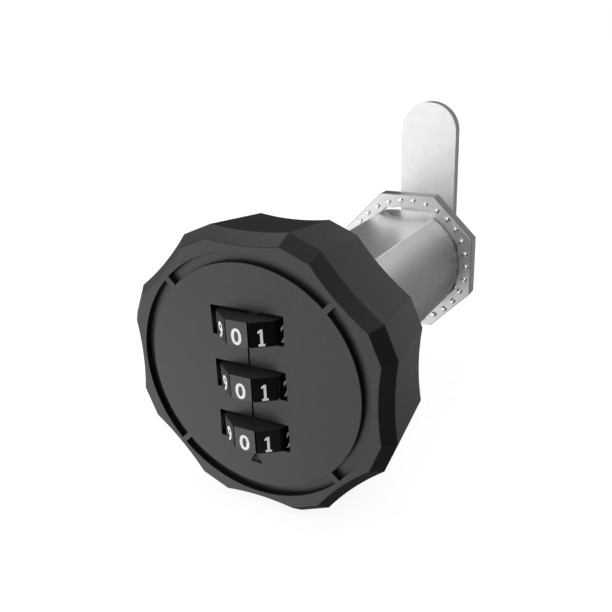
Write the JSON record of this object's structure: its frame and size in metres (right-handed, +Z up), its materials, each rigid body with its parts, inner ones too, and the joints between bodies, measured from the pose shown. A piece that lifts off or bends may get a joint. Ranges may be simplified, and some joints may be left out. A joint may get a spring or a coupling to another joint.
{
  "type": "combination locker lock",
  "caption": "Keyless cam lock for a locker door: a faceted black knob with digit wheels in its face, a flatted steel barrel, an octagonal panel nut and a straight cam.",
  "frame": {"origin": "on the barrel's axis, in the plane where the lock's flange seats on the panel", "axes": "+Y along the barrel from the knob to the cam, +Z up along the cam and the wheels' axle, +X to the user's right"},
  "size_m": [0.0366, 0.0688, 0.0442],
  "materials": {
    "knob_black": "matte black powder coat on die-cast zinc",
    "wheel_black": "smooth black moulded plastic with white figures",
    "zinc": "bare die-cast zinc",
    "brass": "plain turned brass",
    "screw_steel": "bright plated steel",
    "barrel_steel": "satin nickel plate over a fine thread",
    "cam_steel": "smooth bright plated sheet steel",
    "nut_steel": "plated sheet steel with a ring of raised dots"
  },
  "bodies": {
    "barrel": {"barrel": "barrel_steel"},
    "knob": {"knob_housing": "knob_black", "back_plate": "zinc", "plate_screws": "screw_steel", "wheel_cradle": "zinc", "detent_spring": "screw_steel", "detent_rivets": "screw_steel", "spindle": "zinc", "stop_washer": "screw_steel", "cam": "cam_steel", "flat_washer": "screw_steel", "split_washer": "screw_steel", "cam_screw": "screw_steel"},
    "wheel_top": {"number_wheel_top": "wheel_black"},
    "wheel_middle": {"number_wheel_middle": "wheel_black"},
    "wheel_bottom": {"number_wheel_bottom": "wheel_black"},
    "axle": {"wheel_axle": "screw_steel", "sleeve_spacers": "brass", "axle_spring": "screw_steel"},
    "sleeve_top": {"code_sleeve_top": "brass"},
    "sleeve_middle": {"code_sleeve_middle": "brass"},
    "sleeve_bottom": {"code_sleeve_bottom": "brass"},
    "fence": {"fence": "zinc"},
    "nut": {"panel_nut": "nut_steel"}
  },
  "joints": [
    {"name": "knob_turn", "type": "hinge", "parent": "barrel", "child": "knob", "pos_m": [0, 0, 0], "axis": [0, 1, 0], "range_deg": [0, 90]},
    {"name": "fence_lift", "type": "slide", "parent": "knob", "child": "fence", "axis": [0, 0, 1], "range_m": [0, 0.0016]},
    {"name": "wheel_top_turn", "type": "hinge", "parent": "knob", "child": "wheel_top", "pos_m": [0, -0.00981, 0.0068], "axis": [0, 0, 1], "continuous": true},
    {"name": "wheel_middle_turn", "type": "hinge", "parent": "knob", "child": "wheel_middle", "pos_m": [0, -0.00981, -0.0002], "axis": [0, 0, 1], "continuous": true},
    {"name": "wheel_bottom_turn", "type": "hinge", "parent": "knob", "child": "wheel_bottom", "pos_m": [0, -0.00981, -0.0072], "axis": [0, 0, 1], "continuous": true},
    {"name": "code_set", "type": "slide", "parent": "knob", "child": "axle", "axis": [0, 0, 1], "range_m": [0, 0.0011], "stiffness_N_per_m": 300, "springref_m": -0.001, "deforming": ["axle_spring"]},
    {"name": "sleeve_top_turn", "type": "hinge", "parent": "axle", "child": "sleeve_top", "pos_m": [0, -0.00981, 0.0068], "axis": [0, 0, 1], "continuous": true},
    {"name": "sleeve_middle_turn", "type": "hinge", "parent": "axle", "child": "sleeve_middle", "pos_m": [0, -0.00981, -0.0002], "axis": [0, 0, 1], "continuous": true},
    {"name": "sleeve_bottom_turn", "type": "hinge", "parent": "axle", "child": "sleeve_bottom", "pos_m": [0, -0.00981, -0.0072], "axis": [0, 0, 1], "continuous": true},
    {"name": "nut_travel", "type": "slide", "parent": "barrel", "child": "nut", "axis": [0, 1, 0], "range_m": [-0.0369, 0.001]}
  ],
  "couplings": [
    {"joint": "fence_lift", "follows": "knob_turn", "m_per_rad": 0.0010186},
    {"joint": "sleeve_top_turn", "follows": "wheel_top_turn", "ratio": 1},
    {"joint": "sleeve_middle_turn", "follows": "wheel_middle_turn", "ratio": 1},
    {"joint": "sleeve_bottom_turn", "follows": "wheel_bottom_turn", "ratio": 1}
  ]
}
